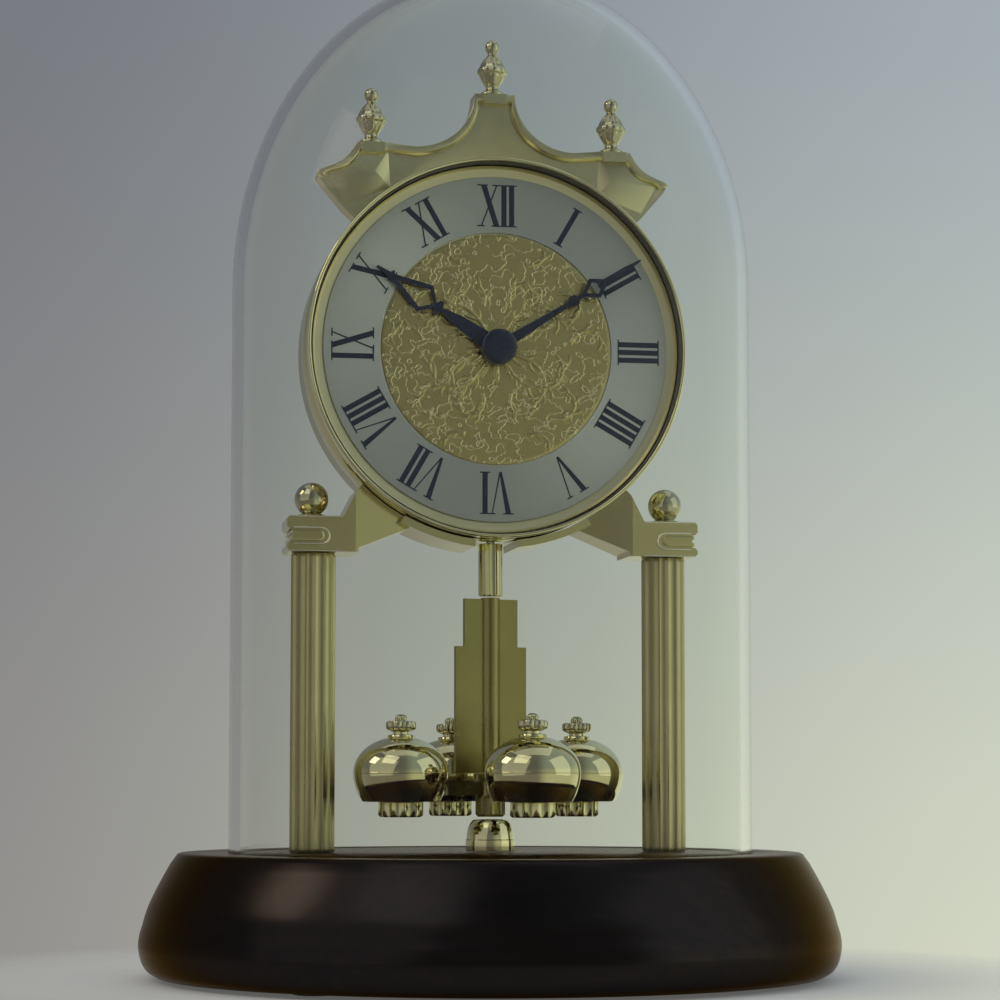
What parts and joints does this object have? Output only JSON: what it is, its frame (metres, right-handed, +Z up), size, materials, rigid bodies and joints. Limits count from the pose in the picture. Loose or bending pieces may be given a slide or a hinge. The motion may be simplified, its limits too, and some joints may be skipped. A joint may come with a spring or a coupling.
{
  "type": "anniversary clock",
  "caption": "Anniversary clock: round dial on fluted columns with a crest and finials, a turning pendulum of round weights, on a turned wooden base under a lift-off glass dome.",
  "frame": {"origin": "centre of the footprint on the table, at the underside of the rubber feet", "axes": "+Z up along the dome's axis, -Y towards the viewer of the dial, +X to the viewer's right"},
  "size_m": [0.1656, 0.1656, 0.241],
  "materials": {
    "dark_wood": "satin",
    "rubber": "matte",
    "glass": "clear",
    "brass": "polished",
    "silver_dial": "sun-ray brushed",
    "gold_dial_centre": "embossed",
    "dark_lacquer": "gloss",
    "steel": "bright",
    "black_plastic": "moulded",
    "white_plastic": "moulded",
    "battery_jacket": "printed"
  },
  "bodies": {
    "frame": {"wood_base": "dark_wood", "rubber_foot_1": "rubber", "rubber_foot_2": "rubber", "rubber_foot_3": "rubber", "rubber_foot_4": "rubber", "pendulum_cup": "brass", "column_left": "brass", "column_right": "brass", "arm_left": "brass", "arm_right": "brass", "ball_finial_left": "brass", "ball_finial_right": "brass", "clock_drum": "brass", "bezel": "brass", "dial_plate": "brass", "chapter_ring": "silver_dial", "dial_centre": "gold_dial_centre", "movement_case": "black_plastic", "battery": "battery_jacket", "crest": "brass", "crest_finial_centre": "brass", "crest_finial_left": "brass", "crest_finial_right": "brass"},
    "dome": {"glass_dome": "glass"},
    "pendulum": {"drive_shaft": "steel", "drive_coupling": "brass", "pendulum_tube": "brass", "pendulum_spider": "brass", "pendulum_weight_1": "brass", "pendulum_weight_2": "brass", "pendulum_weight_3": "brass", "pendulum_weight_4": "brass", "pendulum_nut_1": "brass", "pendulum_nut_2": "brass", "pendulum_nut_3": "brass", "pendulum_nut_4": "brass", "pendulum_stud_1": "brass", "pendulum_stud_2": "brass", "pendulum_stud_3": "brass", "pendulum_stud_4": "brass"},
    "minute": {"minute_hand": "dark_lacquer", "minute_arbor": "steel", "hand_cap": "dark_lacquer"},
    "hour": {"hour_hand": "dark_lacquer", "hour_tube": "steel"},
    "knob": {"set_knob": "white_plastic", "knob_stem": "white_plastic"},
    "cover": {"rear_cover": "black_plastic"}
  },
  "joints": [
    {"name": "dome_lift", "type": "slide", "parent": "frame", "child": "dome", "axis": [0, 0, 1], "range_m": [0, 0.21]},
    {"name": "pendulum_turn", "type": "hinge", "parent": "frame", "child": "pendulum", "pos_m": [0, 0, 0.095], "axis": [0, 0, 1], "range_deg": [-135, 135]},
    {"name": "minute_turn", "type": "hinge", "parent": "frame", "child": "minute", "pos_m": [0, -0.01, 0.1488], "axis": [0, 1, 0], "continuous": true},
    {"name": "hour_turn", "type": "hinge", "parent": "frame", "child": "hour", "pos_m": [0, -0.01, 0.1488], "axis": [0, 1, 0], "continuous": true},
    {"name": "knob_turn", "type": "hinge", "parent": "frame", "child": "knob", "pos_m": [0.011, 0.0095, 0.1368], "axis": [0, 1, 0], "continuous": true},
    {"name": "cover_pull", "type": "slide", "parent": "frame", "child": "cover", "axis": [0, 1, 0], "range_m": [0, 0.012]}
  ],
  "couplings": [
    {"joint": "hour_turn", "follows": "minute_turn", "ratio": 0.083333},
    {"joint": "knob_turn", "follows": "minute_turn", "ratio": 1}
  ]
}
